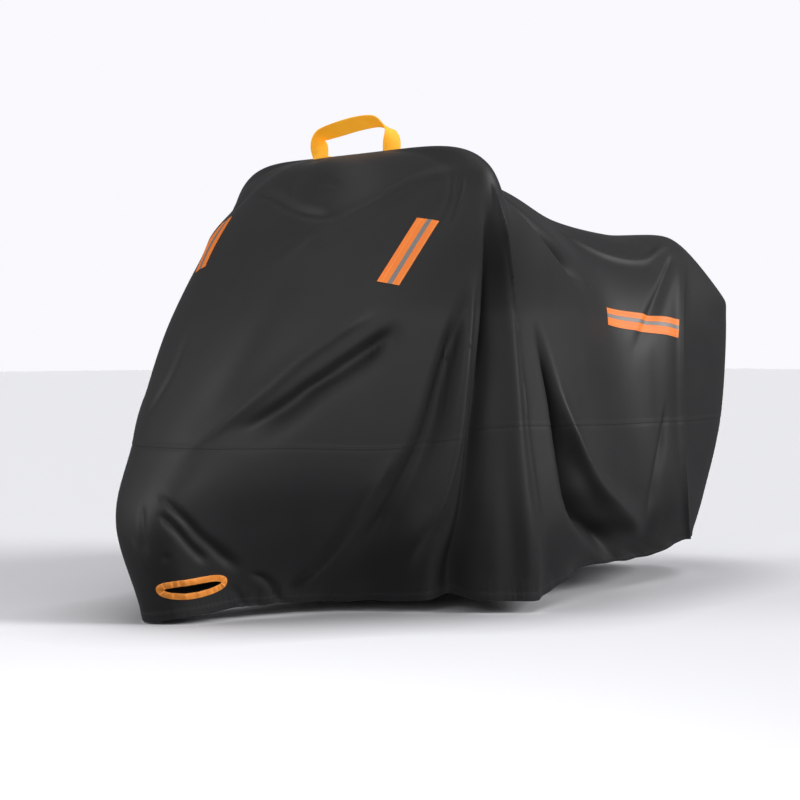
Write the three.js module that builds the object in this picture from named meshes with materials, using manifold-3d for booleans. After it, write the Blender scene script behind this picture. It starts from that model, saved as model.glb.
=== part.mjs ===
// A fitted motorcycle cover, as it hangs in use: four cloth panels, a carry handle,
// four reflective tapes and two bound slots near the front of the hem.
// Millimetres. X runs from the nose to the tail, -Y is the near side, Z is up.
import * as THREE from "three";
import Module from "manifold-3d";

// Driving sizes
const CLOTH = 2.2;            // thickness of the cloth and its hem
const GAP = 0.3;              // left between pieces that are sewn together
const CHEST_Z = 880;          // height of the chest level
const SHIN_Z = 325;           // height of the shin level
const MIDDLE_X = 1134;        // half way along the cover, from the nose
const LOWEST_Z = 78;          // lowest point of the hem, from the ground
const TAPE = { thick: 1.2 };
const SLOT = { long: 150, high: 22, border: 22, thick: 1.8 };
const STRAP = { wide: 50, thick: 2.4, tab: 46 };

// Half sections of the draped cloth, one row for each station from the nose round to the tail.
// Each point is [x, distance from the middle plane, z]; the chest and shin levels have one height.
const STATIONS = [
  // name, spine, crown, chest, seam, shin, hem
  ["nose", [640, 0, 1312], [470, 0, 1180], [250, 0], [70, 0, 535], [-6, 0], [46, 0, 78]],
  ["cheek", [650, 0, 1320], [500, 200, 1190], [275, 210], [115, 170, 535], [40, 125], [128, 95, 96]],
  ["jowl", [680, 0, 1326], [598, 322, 1212], [415, 345], [295, 300, 535], [245, 205], [320, 110, 110]],
  ["brow", [715, 0, 1334], [690, 460, 1245], [610, 445], [575, 405, 530], [565, 330], [600, 190, 105]],
  ["horn", [745, 0, 1332], [770, 517, 1284], [800, 500], [830, 505, 580], [845, 505], [865, 470, 108]],
  ["neck", [920, 0, 1310], [900, 450, 1200], [960, 480], [1010, 510, 580], [1035, 525],
    [1030, 485, 118]],
  ["waist", [1180, 0, 1280], [1180, 350, 1120], [1210, 425], [1230, 470, 575], [1260, 480],
    [1260, 405, 165]],
  ["dip", [1480, 0, 1190], [1450, 215, 1085], [1430, 345], [1455, 400, 570], [1465, 400],
    [1480, 350, 162]],
  ["haunch", [1740, 0, 1150], [1700, 222, 1062], [1600, 352], [1590, 388, 570], [1620, 382],
    [1685, 308, 168]],
  ["corner", [1945, 0, 1146], [1880, 222, 1107], [1741, 350], [1728, 365, 570], [1770, 345],
    [1911, 235, 195]],
  ["flank", [2060, 0, 1080], [2110, 190, 970], [2100, 230], [2085, 225, 570], [2045, 190],
    [2025, 150, 185]],
  ["tail", [2100, 0, 1070], [2235, 0, 960], [2270, 0], [2225, 0, 575], [2140, 0], [2095, 0, 175]],
];
const LEVEL = { spine: 0, crown: 1, chest: 2, seam: 3, shin: 4, hem: 5 };
const CORNER = 9;             // the station where the tail panels are sewn on
const TAIL = STATIONS.length - 1;
const RING = 2 * TAIL;        // stations 0 to TAIL run down the near side, the rest come back

// Folds of the cloth, ridges above 0 and troughs below. A path is a list of [station, level].
// Widths are half widths at the two ends; lean widens a fold on the right of its path, seen from
// outside, and narrows it on the left; crisp is 1 for a sharp crest and 0 for a round one;
// fade is the share of the path over which each end dies out; far is the share of the height
// that the same fold has on the far side.
const FOLDS = [
  // name, height, [widths], lean, crisp, [fades], far, path
  ["front pleat", 34, [24, 62], 0.35, 0.1, [0.2, 0.15], 0.8,
    [[3.66, 1.66], [3.68, 1.89], [3.62, 2.22], [3.57, 2.55], [3.53, 3.0], [3.48, 3.42], [3.42, 3.8],
      [3.3, 4.2], [3.25, 4.86]]],
  ["valley of the front pleat", -32, [24, 60], 0, 0, [0.25, 0.25], 0.8,
    [[3.58, 1.78], [3.5, 2.04], [3.41, 2.28], [3.32, 2.55], [3.22, 2.95], [3.12, 3.36], [3.04, 3.88],
      [2.96, 4.29], [2.9, 4.85]]],
  ["valley before the horn", -56, [26, 78], -0.35, 0.2, [0.2, 0], 0.8,
    [[3.9, 1.55], [3.98, 1.9], [3.92, 2.24], [3.84, 2.54], [3.73, 2.95], [3.66, 3.52], [3.62, 4],
      [3.58, 4.5], [3.6, 5]]],
  ["horn ridge", 26, [30, 56], 0, 0, [0.1, 0], 0.8,
    [[3.95, 1.2], [4.14, 1.56], [4.34, 1.75], [4.42, 2.0], [4.36, 2.4], [4.28, 2.95], [4.27, 3.5],
      [4.33, 4.0], [4.56, 5]]],
  ["crest of the horn ridge", 8, [9, 10], 0, 0.8, [0.05, 0.3], 0.8,
    [[3.95, 1.1], [4.05, 1.35], [4.18, 1.5], [4.36, 1.62], [4.52, 1.8]]],
  ["valley behind the horn", -66, [32, 66], -0.3, 0.1, [0.3, 0.15], 0.8,
    [[5.16, 2.05], [5.2, 2.4], [5.24, 2.8], [5.25, 3.3], [5.33, 3.8], [5.7, 4.15], [6.3, 4.5],
      [6.9, 4.85]]],
  ["ridge behind the horn", 34, [22, 60], -0.3, 0.1, [0.3, 0.2], 0.8,
    [[5.22, 2.2], [5.33, 2.65], [5.45, 3.06], [5.6, 3.37], [5.82, 3.65], [6.25, 3.9], [7.05, 4.24],
      [7.64, 4.55]]],
  ["hollow above the dip", -22, [60, 80], -0.3, 0, [0.25, 0.4], 0.8,
    [[5.3, 0.95], [5.5, 1.12], [5.7, 1.3], [5.94, 1.48], [6.26, 1.62], [6.55, 1.75]]],
  ["brow ridge", 18, [26, 50], 0, 0.3, [0.25, 0.3], 0.6,
    [[3.5, 0.98], [2.8, 0.93], [2.24, 1.02], [1.84, 1.13], [1.5, 1.23], [1.22, 1.34], [0.96, 1.46],
      [0.6, 1.68]]],
  ["swag over the front", 22, [22, 34], 0.4, 0.3, [0.15, 0.4], 0.6,
    [[2.5, 1.95], [2.18, 2.09], [1.98, 2.2], [1.72, 2.35], [1.5, 2.53], [1.3, 2.67], [1.1, 2.81],
      [0.84, 2.97], [0.5, 3.17]]],
  ["deep front trough", -38, [26, 38], -0.35, 0, [0.2, 0.3], 0.6,
    [[2.74, 2.05], [2.48, 2.22], [2.22, 2.37], [1.96, 2.52], [1.74, 2.66], [1.5, 2.79], [1.2, 2.9]]],
  ["sag over the front", -16, [22, 26], 0, 0.6, [0.3, 0.3], 0,
    [[-1.27, 0.76], [-0.26, 0.87], [0.58, 1.1], [1.45, 1.27]]],
  ["skirt crease", 16, [12, 26], 0.45, 0.4, [0.3, 0.15], 0.6,
    [[2.96, 3.0], [2.9, 3.2], [2.84, 3.5], [2.8, 3.93], [2.72, 4.26], [2.58, 4.57], [2.42, 4.82]]],
  ["nose trough, upper", -14, [10, 22], -0.3, 0.1, [0.2, 0.2], 0,
    [[0.5, 3.46], [1.08, 3.82], [1.38, 4.08], [1.62, 4.3], [1.86, 4.58]]],
  ["nose trough, lower", -11, [12, 20], -0.3, 0.1, [0.2, 0.2], 0,
    [[0.7, 3.76], [1.06, 4.0], [1.28, 4.22], [1.48, 4.44]]],
  ["corner hollow", -16, [12, 36], -0.4, 0.2, [0.15, 0.4], 0.8,
    [[8.8, 1.15], [8.58, 1.38], [8.35, 1.62], [8.1, 1.88], [7.72, 2.19], [7.3, 2.45]]],
  ["haunch trough", -13, [14, 38], -0.4, 0.2, [0.3, 0.4], 0.8,
    [[8.54, 2.75], [8.18, 3.19], [7.84, 3.6], [7.62, 4.0], [7.38, 4.4]]],
  ["crest along the dip", 14, [24, 26], 0, 0.8, [0.2, 0.1], 1,
    [[6.6, 0.66], [7.15, 0.92], [7.5, 1.05], [8.0, 1.06], [8.9, 0.96]]],
  ["corner ridge", 14, [20, 24], 0, 0.8, [0.05, 0], 1,
    [[9.0, 0.98], [9.0, 2.0], [9.0, 3.0], [9.0, 4.0], [9.0, 5.0]]],
];

const FINEST = 24;            // half width of the sharpest crease that these facets can hold

// Lines of the mesh that run down the main folds: the station at each level from spine to hem,
// and how many columns there are up to the next line
const LINES = [
  // name, spine, crown, chest, seam, shin, hem, columns
  ["nose", 0, 0, 0, 0, 0, 0, 8],
  ["deep front trough", 2.5, 2.8, 2.4, 0.85, 0.6, 0.5, 7],
  ["valley of the front pleat", 3.45, 3.45, 3.5, 3.22, 3.03, 2.9, 3],
  ["front pleat", 3.7, 3.7, 3.66, 3.53, 3.36, 3.25, 3],
  ["valley before the horn", 3.95, 3.95, 3.96, 3.72, 3.62, 3.6, 4],
  ["horn ridge", 4.2, 4.2, 4.42, 4.3, 4.34, 4.56, 4],
  ["valley behind the horn", 5.1, 5.1, 5.15, 5.25, 5.5, 6.95, 3],
  ["ridge behind the horn", 5.5, 5.5, 5.38, 5.46, 6.45, 8.0, 6],
  ["dip", 6.7, 6.7, 6.6, 6.4, 7.2, 8.25, 4],
  ["haunch", 8.4, 8.4, 8.4, 8.0, 7.9, 8.5, 3],
  ["corner", CORNER, CORNER, CORNER, CORNER, CORNER, CORNER, 6],
  ["tail", TAIL, TAIL, TAIL, TAIL, TAIL, TAIL, 0],
];
const ROWS = [[0, 1, 6], [1, 2, 8], [2, 3, 7], [3, 5, 12]];   // from level, to level, rows

// Sewn-on pieces, placed by [station, level] of the middle and of a point further along
const TAPES = [
  // name, length, width, middle, further along
  ["tape_front_left", 200, 50, [2.59, 1.565], [2.49, 1.78]],
  ["tape_front_right", 200, 50, [-0.93, 1.39], [-0.83, 1.58]],
  ["tape_rear_left", 300, 52, [7.84, 2.05], [8.4, 2.075]],
  ["tape_rear_right", 300, 52, [-7.84, 2.05], [-8.4, 2.075]],
];
const SLOTS = [
  ["front_slot_binding_left", [1.17, 4.68], [1.42, 4.665]],
  ["front_slot_binding_right", [-1.3, 4.68], [-1.55, 4.665]],
];

// The carry handle's webbing: both feet [x, y] on the top, then the loop between them, as
// [distance along from the middle, height above the top, turn of the webbing in degrees]
const FEET = { far: [710, 92], near: [784, -106], z: 1334 };
const LOOP = [
  [-114, -14, 0], [-115, 10, 0], [-117, 28, 12], [-122, 46, 62], [-104, 63, 57], [-56, 77, 47],
  [9, 90, 47], [66, 95, 62], [96, 82, 95], [124, 68, 130], [131, 42, 172], [127, 14, 180], [126, -14, 180],
];

const vec = (x, y, z) => new THREE.Vector3(x, y, z);
const clamp = (value, low, high) => Math.min(Math.max(value, low), high);
const smooth = (t) => t * t * (3 - 2 * t);

// One station's six points; stations past the tail are the far side's
function section(index) {
  const k = ((index % RING) + RING) % RING;
  const side = k <= TAIL ? -1 : 1;
  const [, spine, crown, chest, seam, shin, hem] = STATIONS[k <= TAIL ? k : RING - k];
  const points = [spine, crown, [...chest, CHEST_Z], seam, [...shin, SHIN_Z], hem];
  return points.map(([x, y, z]) => vec(x, side * y, z));
}

// A smooth curve through p1 and p2, with p0 and p3 beyond them
function through(p0, p1, p2, p3, t) {
  const start = p2.clone().sub(p0).multiplyScalar(0.5);
  const end = p3.clone().sub(p1).multiplyScalar(0.5);
  return hermite(p1, p2, start, end, t);
}

function hermite(p1, p2, start, end, t) {
  const t2 = t * t;
  const t3 = t2 * t;
  return vec(0, 0, 0)
    .addScaledVector(p1, 2 * t3 - 3 * t2 + 1)
    .addScaledVector(start, t3 - 2 * t2 + t)
    .addScaledVector(p2, 3 * t2 - 2 * t3)
    .addScaledVector(end, t3 - t2);
}

// The smooth cloth without folds at any station and level
const sections = new Map();
function meridian(station) {
  if (!sections.has(station)) {
    const k = Math.floor(station);
    const four = [k - 1, k, k + 1, k + 2].map(section);
    const points = four[0].map((_, level) =>
      through(four[0][level], four[1][level], four[2][level], four[3][level], station - k));
    const slopes = points.map((point, level) => {
      const before = points[Math.max(level - 1, 0)];
      const after = points[Math.min(level + 1, LEVEL.hem)];
      const reach = level > 0 && level < LEVEL.hem ? 0.5 : 1;
      return after.clone().sub(before).multiplyScalar(reach);
    });
    slopes[0].multiplyScalar(1.5).setZ(0);
    sections.set(station, { points, slopes });
  }
  return sections.get(station);
}

function smoothCloth(station, level) {
  const { points, slopes } = meridian(station);
  const k = clamp(Math.floor(level), 0, LEVEL.hem - 1);
  return hermite(points[k], points[k + 1], slopes[k], slopes[k + 1], level - k);
}

function outward(station, level) {
  const step = 0.01;
  const along = smoothCloth(station + step, level).sub(smoothCloth(station - step, level));
  const high = Math.max(level - step, 0);
  const low = Math.min(level + step, LEVEL.hem);
  const down = smoothCloth(station, low).sub(smoothCloth(station, high));
  return down.cross(along).normalize();
}

// Each fold becomes a chain of short legs in space, once for each side it is on
const LEGS = 24;
function foldChains([, height, widths, lean, crisp, fades, far, path]) {
  const curve = new THREE.CatmullRomCurve3(path.map(([s, l]) => vec(s, l, 0)), false, "catmullrom", 0.5);
  const places = curve.getPoints(LEGS);
  const sides = far > 0 ? [1, -1] : [1];
  return sides.map((side) => {
    const points = places.map(({ x, y }) => smoothCloth(side * x, clamp(y, 0, LEVEL.hem)));
    const ball = new THREE.Sphere().setFromPoints(points);
    ball.radius += 3 * Math.max(...widths) * (1 + Math.abs(lean));
    return { points, ball, side, height: side > 0 ? height : height * far, widths, lean, crisp, fades };
  });
}
const chains = FOLDS.flatMap(foldChains);

const nearest = vec(0, 0, 0);
const leg = new THREE.Line3();
const run = vec(0, 0, 0);
const offset = vec(0, 0, 0);
function foldHeight(place, normal, { points, ball, side, height, widths, lean, crisp, fades }) {
  if (!ball.containsPoint(place)) return 0;
  let closest = Infinity;
  let along = 0;
  let left = 0;
  for (let k = 0; k < LEGS; k += 1) {
    leg.set(points[k], points[k + 1]);
    const t = leg.closestPointToPointParameter(place, true);
    const distance = leg.at(t, nearest).distanceTo(place);
    if (distance < closest) {
      closest = distance;
      along = (k + t) / LEGS;
      offset.copy(place).sub(leg.start);
      left = Math.sign(leg.delta(run).cross(offset).dot(normal)) * side;
    }
  }
  const width = THREE.MathUtils.lerp(widths[0], widths[1], along) * (1 - lean * left);
  const off = closest / Math.hypot(width, FINEST);
  const round = Math.exp(-2.2 * off * off);
  const sharp = Math.exp(-2.6 * (Math.sqrt(off * off + 0.006) - 0.077));
  const fadeIn = fades[0] > 0 ? smooth(clamp(along / fades[0], 0, 1)) : 1;
  const fadeOut = fades[1] > 0 ? smooth(clamp((1 - along) / fades[1], 0, 1)) : 1;
  return height * fadeIn * fadeOut * THREE.MathUtils.lerp(round, sharp, crisp);
}

// The outer face of the draped cloth
function drape(station, level) {
  const place = smoothCloth(station, level);
  const normal = outward(station, level);
  const rise = chains.reduce((sum, chain) => sum + foldHeight(place, normal, chain), 0);
  const nearSpine = smooth(clamp(level / 0.25, 0, 1));
  return place.addScaledVector(normal, rise * nearSpine);
}

// One grid over the whole cover: columns are lines down the cloth right round it, counted
// from the nose with the far side's below zero, and rows are levels
const levels = [0];
for (const [from, to, rows] of ROWS) {
  for (let k = 1; k <= rows; k += 1) levels.push(THREE.MathUtils.lerp(from, to, k / rows));
}
const half = [];
LINES.forEach(([, ...line], n) => {
  const count = line[LEVEL.hem + 1];
  const next = LINES[n + 1]?.slice(1) ?? line;
  for (let k = 0; k < Math.max(count, 1); k += 1) {
    const t = k / Math.max(count, 1);
    half.push(line.slice(0, LEVEL.hem + 1).map((s, l) => THREE.MathUtils.lerp(s, next[l], t)));
  }
});
const columns = [...half.slice(1).reverse().map((line) => line.map((s) => -s)), ...half];
const last = columns.length - 1;
const atLevel = (line, level) => {
  const k = Math.min(Math.floor(level), LEVEL.hem - 1);
  return THREE.MathUtils.lerp(line[k], line[k + 1], level - k);
};
const grid = columns.map((line) => levels.map((level) => drape(atLevel(line, level), level)));
const normals = grid.map((column, i) => column.map((_, j) => {
  if (j === 0) return vec(0, 0, 1);
  const before = grid[i > 0 ? i - 1 : last - 1];
  const after = grid[i < last ? i + 1 : 1];
  const down = column[Math.min(j + 1, levels.length - 1)].clone().sub(column[j - 1]);
  return down.cross(after[j].clone().sub(before[j])).normalize();
}));

// A closed layer of the cloth over a strip of columns and some rows, between two distances from its
// outer face. Edges that meet a neighbour's stop half a gap short of the seam.
function layer(strip, rows, low, high) {
  const points = [];
  const triangles = [];
  const ids = strip.map((_, a) => rows.map((j, b) => {
    const twin = strip.length - 1 - a;
    return j === 0 && twin < a ? [twin, b] : [a, b];
  }));
  const number = new Map();
  ids.forEach((column, a) => column.forEach(([p, q], b) => {
    if (p !== a || q !== b) return;
    const i = strip[a];
    const j = rows[b];
    const place = grid[i][j].clone();
    const pull = (other) => place.addScaledVector(other.clone().sub(grid[i][j]).normalize(), GAP / 2);
    if (a === 0) pull(grid[strip[1]][j]);
    if (a === strip.length - 1) pull(grid[strip[a - 1]][j]);
    if (levels[j] === LEVEL.seam) pull(grid[i][b === 0 ? j + 1 : j - 1]);
    number.set(`${a},${b}`, points.length);
    points.push([low, high].map((off) => place.clone().addScaledVector(normals[i][j], off)));
  }));
  const id = (a, b) => number.get(ids[a][b].join(","));
  const face = (p, q, r) => {
    if (p !== q && q !== r && r !== p) triangles.push([p, q, r]);
  };
  for (let a = 0; a + 1 < strip.length; a += 1) {
    for (let b = 0; b + 1 < rows.length; b += 1) {
      const corners = [id(a, b), id(a, b + 1), id(a + 1, b + 1), id(a + 1, b)];
      const [p, q, r, s] = corners.map((n) => points[n][1]);
      if (p.distanceTo(r) < q.distanceTo(s)) {
        face(corners[0], corners[1], corners[2]);
        face(corners[0], corners[2], corners[3]);
      } else {
        face(corners[0], corners[1], corners[3]);
        face(corners[1], corners[2], corners[3]);
      }
    }
  }
  const open = new Map();
  for (const [p, q, r] of triangles) {
    for (const [from, to] of [[p, q], [q, r], [r, p]]) {
      if (!open.delete(`${to},${from}`)) open.set(`${from},${to}`, [from, to]);
    }
  }
  const index = [];
  const outer = (n) => 2 * n + 1;
  const inner = (n) => 2 * n;
  for (const [p, q, r] of triangles) {
    index.push(outer(p), outer(q), outer(r), inner(p), inner(r), inner(q));
  }
  // Both sides of a seam split the quads of their edges the same way, along the shorter diagonal
  for (const [from, to] of open.values()) {
    const falling = points[from][1].distanceTo(points[to][0]);
    const rising = points[from][0].distanceTo(points[to][1]);
    const [p, q, r, s] = [outer(from), inner(from), inner(to), outer(to)];
    if (falling < rising) index.push(p, q, r, p, r, s);
    else index.push(p, q, s, q, r, s);
  }
  return solid(points.flat(), index);
}

// Solids go through manifold-3d, which joins and cuts them
const wasm = await Module();
wasm.setup();

function solid(points, index) {
  const mesh = new wasm.Mesh({
    numProp: 3,
    vertProperties: new Float32Array(points.flatMap((p) => p.toArray())),
    triVerts: new Uint32Array(index),
  });
  return new wasm.Manifold(mesh);
}

function geometry(body) {
  const mesh = body.getMesh();
  const result = new THREE.BufferGeometry();
  result.setAttribute("position", new THREE.BufferAttribute(new Float32Array(mesh.vertProperties), 3));
  result.setIndex(new THREE.BufferAttribute(new Uint32Array(mesh.triVerts), 1));
  result.translate(-MIDDLE_X, 0, -LOWEST_Z);
  result.computeVertexNormals();
  return result;
}

// The prism over a flat outline laid on the cloth at a place, turned to run towards another
function prismOver(shape, [station, level], [station2, level2], depth) {
  const centre = drape(station, level);
  const out = outward(station, level);
  const along = drape(station2, level2).sub(centre).projectOnPlane(out).normalize();
  const across = out.clone().cross(along);
  const raised = new THREE.ExtrudeGeometry(shape, { depth, bevelEnabled: false, curveSegments: 6 });
  raised.translate(0, 0, -depth / 2);
  raised.applyMatrix4(new THREE.Matrix4().makeBasis(along, across, out).setPosition(centre));
  return fromGeometry(raised);
}

function fromGeometry(source) {
  const position = source.getAttribute("position");
  const keys = new Map();
  const points = [];
  const index = [];
  const count = source.index ? source.index.count : position.count;
  for (let n = 0; n < count; n += 1) {
    const point = vec(0, 0, 0).fromBufferAttribute(position, source.index ? source.index.getX(n) : n);
    const key = point.toArray().map((value) => value.toFixed(4)).join(",");
    if (!keys.has(key)) {
      keys.set(key, points.length);
      points.push(point);
    }
    index.push(keys.get(key));
  }
  return solid(points, index);
}

function stadium(long, high) {
  const r = high / 2;
  const half = long / 2 - r;
  const shape = new THREE.Shape();
  shape.moveTo(-half, -r);
  shape.lineTo(half, -r);
  shape.absarc(half, 0, r, -Math.PI / 2, Math.PI / 2);
  shape.lineTo(-half, r);
  shape.absarc(-half, 0, r, Math.PI / 2, 1.5 * Math.PI);
  return shape;
}

function rectangle(long, wide) {
  const shape = new THREE.Shape();
  shape.moveTo(-long / 2, -wide / 2);
  shape.lineTo(long / 2, -wide / 2);
  shape.lineTo(long / 2, wide / 2);
  shape.lineTo(-long / 2, wide / 2);
  return shape;
}

// Webbing swept along the loop, turning about its own run
function webbing(rows, origin, along, facing) {
  const up = vec(0, 0, 1);
  const place = ([u, z]) => origin.clone().addScaledVector(along, u).addScaledVector(up, z);
  const route = new THREE.CatmullRomCurve3(rows.map(place), false, "centripetal");
  const marks = rows.map(([, , turn], k) => vec(k, turn, 0));
  const turns = new THREE.CatmullRomCurve3(marks, false, "catmullrom");
  const steps = 2 * (rows.length - 1);
  const points = [];
  const index = [];
  for (let k = 0; k <= steps; k += 1) {
    const t = k / steps;
    const run = route.getTangent(t);
    const turn = THREE.MathUtils.degToRad(turns.getPoint(t).y);
    const flat = facing.clone().cross(run).normalize();
    const wide = flat.multiplyScalar(Math.cos(turn)).addScaledVector(facing, Math.sin(turn));
    wide.projectOnPlane(run).normalize();
    const thick = run.clone().cross(wide);
    const sides = [[-1, -1], [1, -1], [1, 1], [-1, 1]];
    points.push(...sides.map(([w, h]) => route.getPoint(t)
      .addScaledVector(wide, w * STRAP.wide / 2).addScaledVector(thick, h * STRAP.thick / 2)));
    for (let c = 0; c < 4 && k > 0; c += 1) {
      const [a, b] = [4 * (k - 1) + c, 4 * (k - 1) + (c + 1) % 4];
      index.push(a, b, b + 4, a, b + 4, a + 4);
    }
  }
  const end = 4 * steps;
  index.push(0, 2, 1, 0, 3, 2, end, end + 1, end + 2, end, end + 2, end + 3);
  return solid(points, index);
}

const finishes = {
  cloth: new THREE.MeshStandardMaterial({ color: 0x2e2e30, roughness: 0.62 }),
  reflective: new THREE.MeshStandardMaterial({ color: 0xf07828, roughness: 0.5 }),
  binding: new THREE.MeshStandardMaterial({ color: 0xdc8228, roughness: 0.8 }),
  webbing: new THREE.MeshStandardMaterial({ color: 0xf5a81e, roughness: 0.75 }),
};

const cover = new THREE.Group();
function add(name, body, finish) {
  const mesh = new THREE.Mesh(geometry(body), finishes[finish].clone());
  mesh.name = name;
  cover.add(mesh);
}

// Cloth panels
const columnsBetween = (from, to) => columns.map((_, i) => i).filter((i) =>
  columns[i][0] >= from && columns[i][0] <= to);
const rowsBetween = (from, to) => levels.map((_, j) => j).filter((j) =>
  levels[j] >= from && levels[j] <= to);
const bodyColumns = columnsBetween(-CORNER, CORNER);
const tailColumns = [...columnsBetween(CORNER, TAIL), ...columnsBetween(-TAIL, -CORNER).slice(1)];
const upperRows = rowsBetween(LEVEL.spine, LEVEL.seam);
const lowerRows = rowsBetween(LEVEL.seam, LEVEL.hem);

add("body_upper", layer(bodyColumns, upperRows, -CLOTH, 0), "cloth");
add("tail_upper", layer(tailColumns, upperRows, -CLOTH, 0), "cloth");
add("tail_lower", layer(tailColumns, lowerRows, -CLOTH, 0), "cloth");

// The skirt has a slot through it on each side of the nose, with a tape border round it
let skirt = layer(bodyColumns, lowerRows, -CLOTH, 0);
const border = layer(bodyColumns, lowerRows, GAP, GAP + SLOT.thick);
for (const [name, place, towards] of SLOTS) {
  const hole = prismOver(stadium(SLOT.long + 2, SLOT.high + 2), place, towards, 80);
  const opening = prismOver(stadium(SLOT.long, SLOT.high), place, towards, 80);
  const { border: edge } = SLOT;
  const outline = prismOver(stadium(SLOT.long + 2 * edge, SLOT.high + 2 * edge), place, towards, 80);
  skirt = skirt.subtract(hole);
  add(name, border.intersect(outline).subtract(opening), "binding");
}
add("body_lower", skirt, "cloth");

// Reflective tapes lie on the upper panels
const tapeLayer = layer(bodyColumns, upperRows, GAP, GAP + TAPE.thick);
for (const [name, long, wide, place, towards] of TAPES) {
  add(name, tapeLayer.intersect(prismOver(rectangle(long, wide), place, towards, 120)), "reflective");
}

// The handle's two ends lie flat behind the loop, sewn to the top
const far = vec(...FEET.far, FEET.z);
const near = vec(...FEET.near, FEET.z);
const across = near.clone().sub(far).normalize();
const facing = across.clone().cross(vec(0, 0, 1));
const below = layer(bodyColumns, upperRows, -20, GAP + STRAP.thick / 2);
const overTop = layer(bodyColumns, upperRows, GAP, GAP + STRAP.thick);
const middle = far.clone().add(near).multiplyScalar(0.5);
let handle = webbing(LOOP, middle, across, facing).subtract(below);
for (const foot of [LOOP[0], LOOP[LOOP.length - 1]]) {
  const place = middle.clone().addScaledVector(across, foot[0]).addScaledVector(facing, -STRAP.tab / 2);
  const block = new THREE.BoxGeometry(STRAP.wide + 2, STRAP.tab + STRAP.thick + 4, 40);
  const turned = new THREE.Matrix4().makeBasis(across, facing.clone().negate(), vec(0, 0, 1));
  block.applyMatrix4(turned.setPosition(place));
  handle = handle.add(overTop.intersect(fromGeometry(block)));
}
add("carry_handle", handle, "webbing");

export default cover;
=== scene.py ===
import math

import bpy
import numpy as np
from mathutils import Matrix, Vector
from mathutils.bvhtree import BVHTree


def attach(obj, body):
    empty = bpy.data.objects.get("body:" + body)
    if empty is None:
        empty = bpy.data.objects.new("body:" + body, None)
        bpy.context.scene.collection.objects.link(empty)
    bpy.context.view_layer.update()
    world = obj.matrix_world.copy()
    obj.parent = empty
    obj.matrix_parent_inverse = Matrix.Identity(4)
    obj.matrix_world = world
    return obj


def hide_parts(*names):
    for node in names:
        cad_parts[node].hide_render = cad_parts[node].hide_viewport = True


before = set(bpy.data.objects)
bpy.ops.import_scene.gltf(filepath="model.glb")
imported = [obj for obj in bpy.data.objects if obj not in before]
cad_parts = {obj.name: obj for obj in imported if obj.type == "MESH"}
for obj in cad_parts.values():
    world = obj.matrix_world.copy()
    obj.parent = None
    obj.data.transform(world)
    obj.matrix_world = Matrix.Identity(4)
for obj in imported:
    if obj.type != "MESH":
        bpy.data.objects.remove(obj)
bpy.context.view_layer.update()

# The view. The cover is seen from its near side and front, a little above the middle of its
# height, through a lens that is long enough to keep the two high corners level.
azimuth = math.radians(-41.0)
dip = math.radians(1.674)
focal_pixels = 1950
view_pixels = 800
look = Vector((-math.sin(azimuth) * math.cos(dip), math.cos(azimuth) * math.cos(dip), -math.sin(dip)))
camera_data = bpy.data.cameras.new("view")
camera_data.sensor_width = 36.0
camera_data.lens = 36.0 * focal_pixels / view_pixels
camera_data.clip_end = 60.0
camera = bpy.data.objects.new("view", camera_data)
bpy.context.scene.collection.objects.link(camera)
camera.location = (-3.914, -4.258, 0.728)
camera.rotation_euler = look.to_track_quat("-Z", "Y").to_euler()
bpy.context.scene.camera = camera


# The upper body panel. One panel of coated polyester runs from the horizontal seam on one
# side over the top to the seam on the other side, and round the front. Its shape is the
# smooth cloth of the half sections below, and the folds and creases of the tables after them.
chest_z = 880
shin_z = 325
middle_x = 1134
lowest_z = 78
STATIONS = [
    # name, spine, crown, chest, seam, shin, hem; millimetres
    ["nose", (640, 0, 1312), (470, 0, 1180), (250, 0), (70, 0, 535), (-6, 0), (46, 0, 78)],
    ["cheek", (650, 0, 1320), (500, 200, 1190), (275, 210), (115, 170, 535), (40, 125), (128, 95, 96)],
    ["jowl", (680, 0, 1326), (598, 322, 1212), (415, 345), (295, 300, 535), (245, 205), (320, 110, 110)],
    ["brow", (715, 0, 1334), (690, 460, 1245), (610, 445), (575, 405, 530), (565, 330), (600, 190, 105)],
    ["horn", (745, 0, 1332), (770, 517, 1284), (800, 500), (830, 505, 580), (845, 505), (865, 470, 108)],
    ["neck", (920, 0, 1310), (900, 450, 1200), (960, 480), (1010, 510, 580), (1035, 525), (1030, 485, 118)],
    ["waist", (1180, 0, 1280), (1180, 350, 1120), (1210, 425), (1230, 470, 575), (1260, 480),
     (1260, 405, 165)],
    ["dip", (1480, 0, 1190), (1450, 215, 1085), (1430, 345), (1455, 400, 570), (1465, 400),
     (1480, 350, 162)],
    ["haunch", (1740, 0, 1150), (1700, 222, 1062), (1600, 352), (1590, 388, 570), (1620, 382),
     (1685, 308, 168)],
    ["corner", (1945, 0, 1146), (1880, 222, 1107), (1741, 350), (1728, 365, 570), (1770, 345),
     (1911, 235, 195)],
    ["flank", (2060, 0, 1080), (2110, 190, 970), (2100, 230), (2085, 225, 570), (2045, 190),
     (2025, 150, 185)],
    ["tail", (2100, 0, 1070), (2235, 0, 960), (2270, 0), (2225, 0, 575), (2140, 0), (2095, 0, 175)],
]
HEM = 5                       # the last of the six levels, counted from the spine at 0
CORNER = 9
TAIL = len(STATIONS) - 1
RING = 2 * TAIL

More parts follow.
